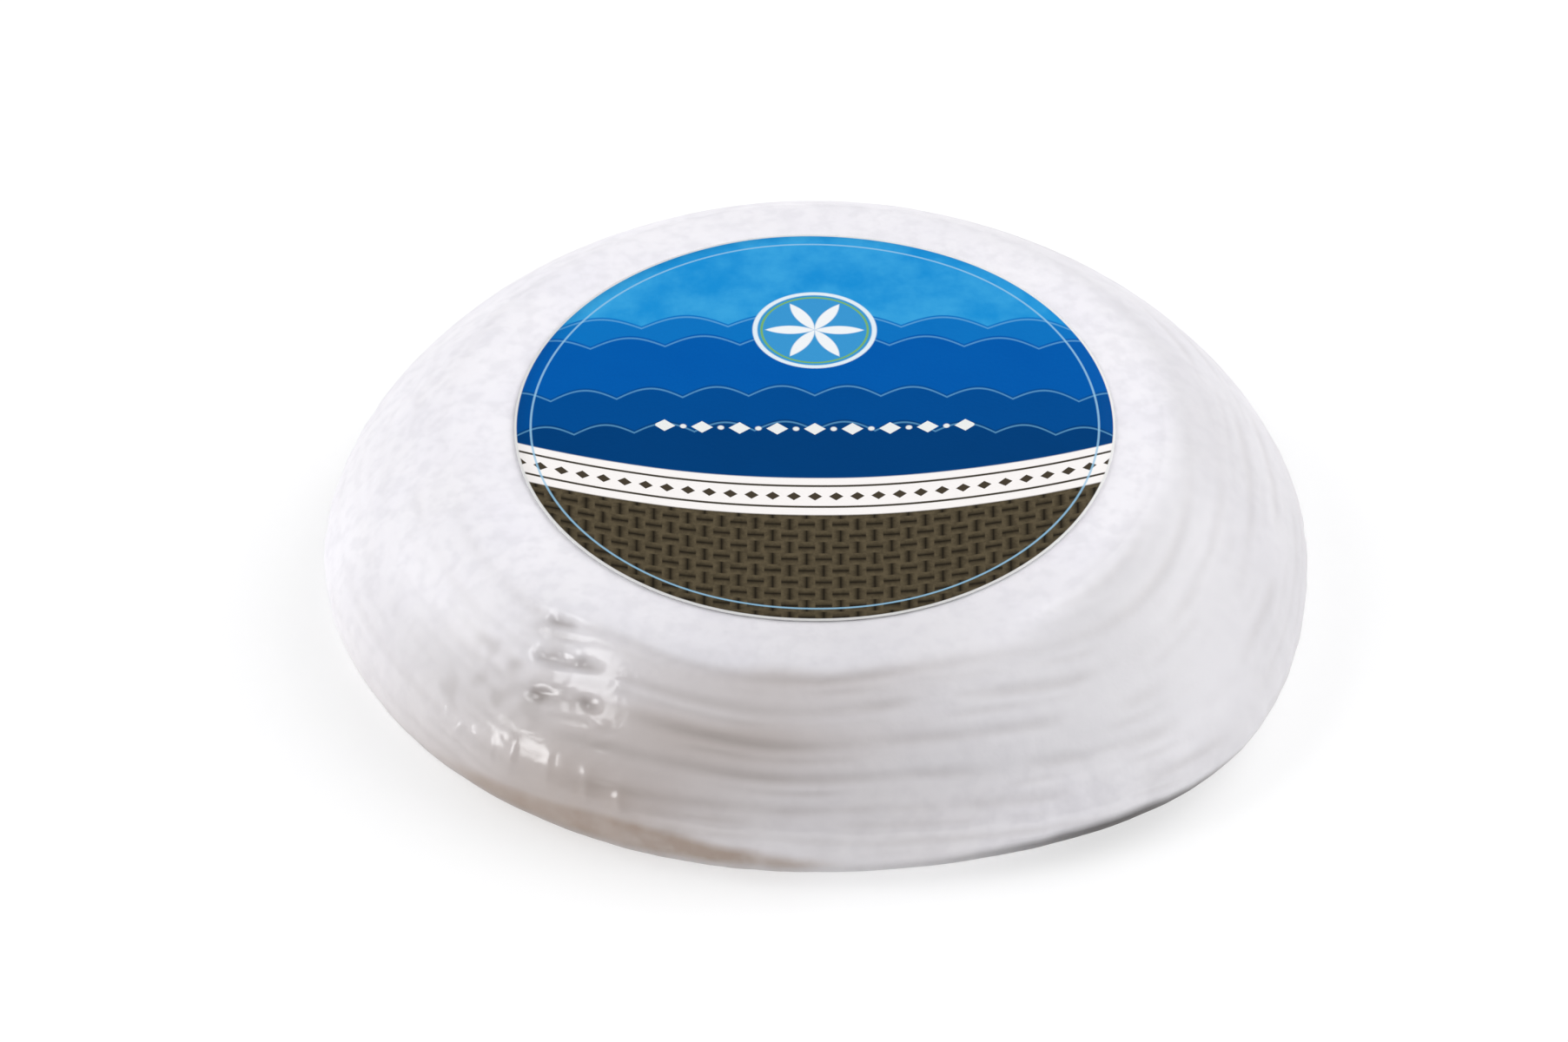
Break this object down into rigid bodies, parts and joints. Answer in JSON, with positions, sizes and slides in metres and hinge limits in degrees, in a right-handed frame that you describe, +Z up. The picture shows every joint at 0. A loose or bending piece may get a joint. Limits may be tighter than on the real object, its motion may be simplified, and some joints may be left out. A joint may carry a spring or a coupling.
{
  "type": "basket cheese",
  "caption": "Low round basket cheese with a gently domed top and a ridged flank, drawn tight in clear film, with a round paper label on top.",
  "frame": {"origin": "middle of the flat base, on the surface that the cheese stands on", "axes": "+Z up; -Y is the front, from which the label is upright; +X to the right of the front"},
  "size_m": [0.1894, 0.183, 0.0423],
  "materials": {
    "rind": "matt white rind with a faint grey mottle",
    "film": "clear, thin and glossy",
    "label_paper": "coated paper, satin"
  },
  "bodies": {
    "root": {"wheel_in_film": "rind", "top_label": "label_paper"}
  },
  "joints": []
}
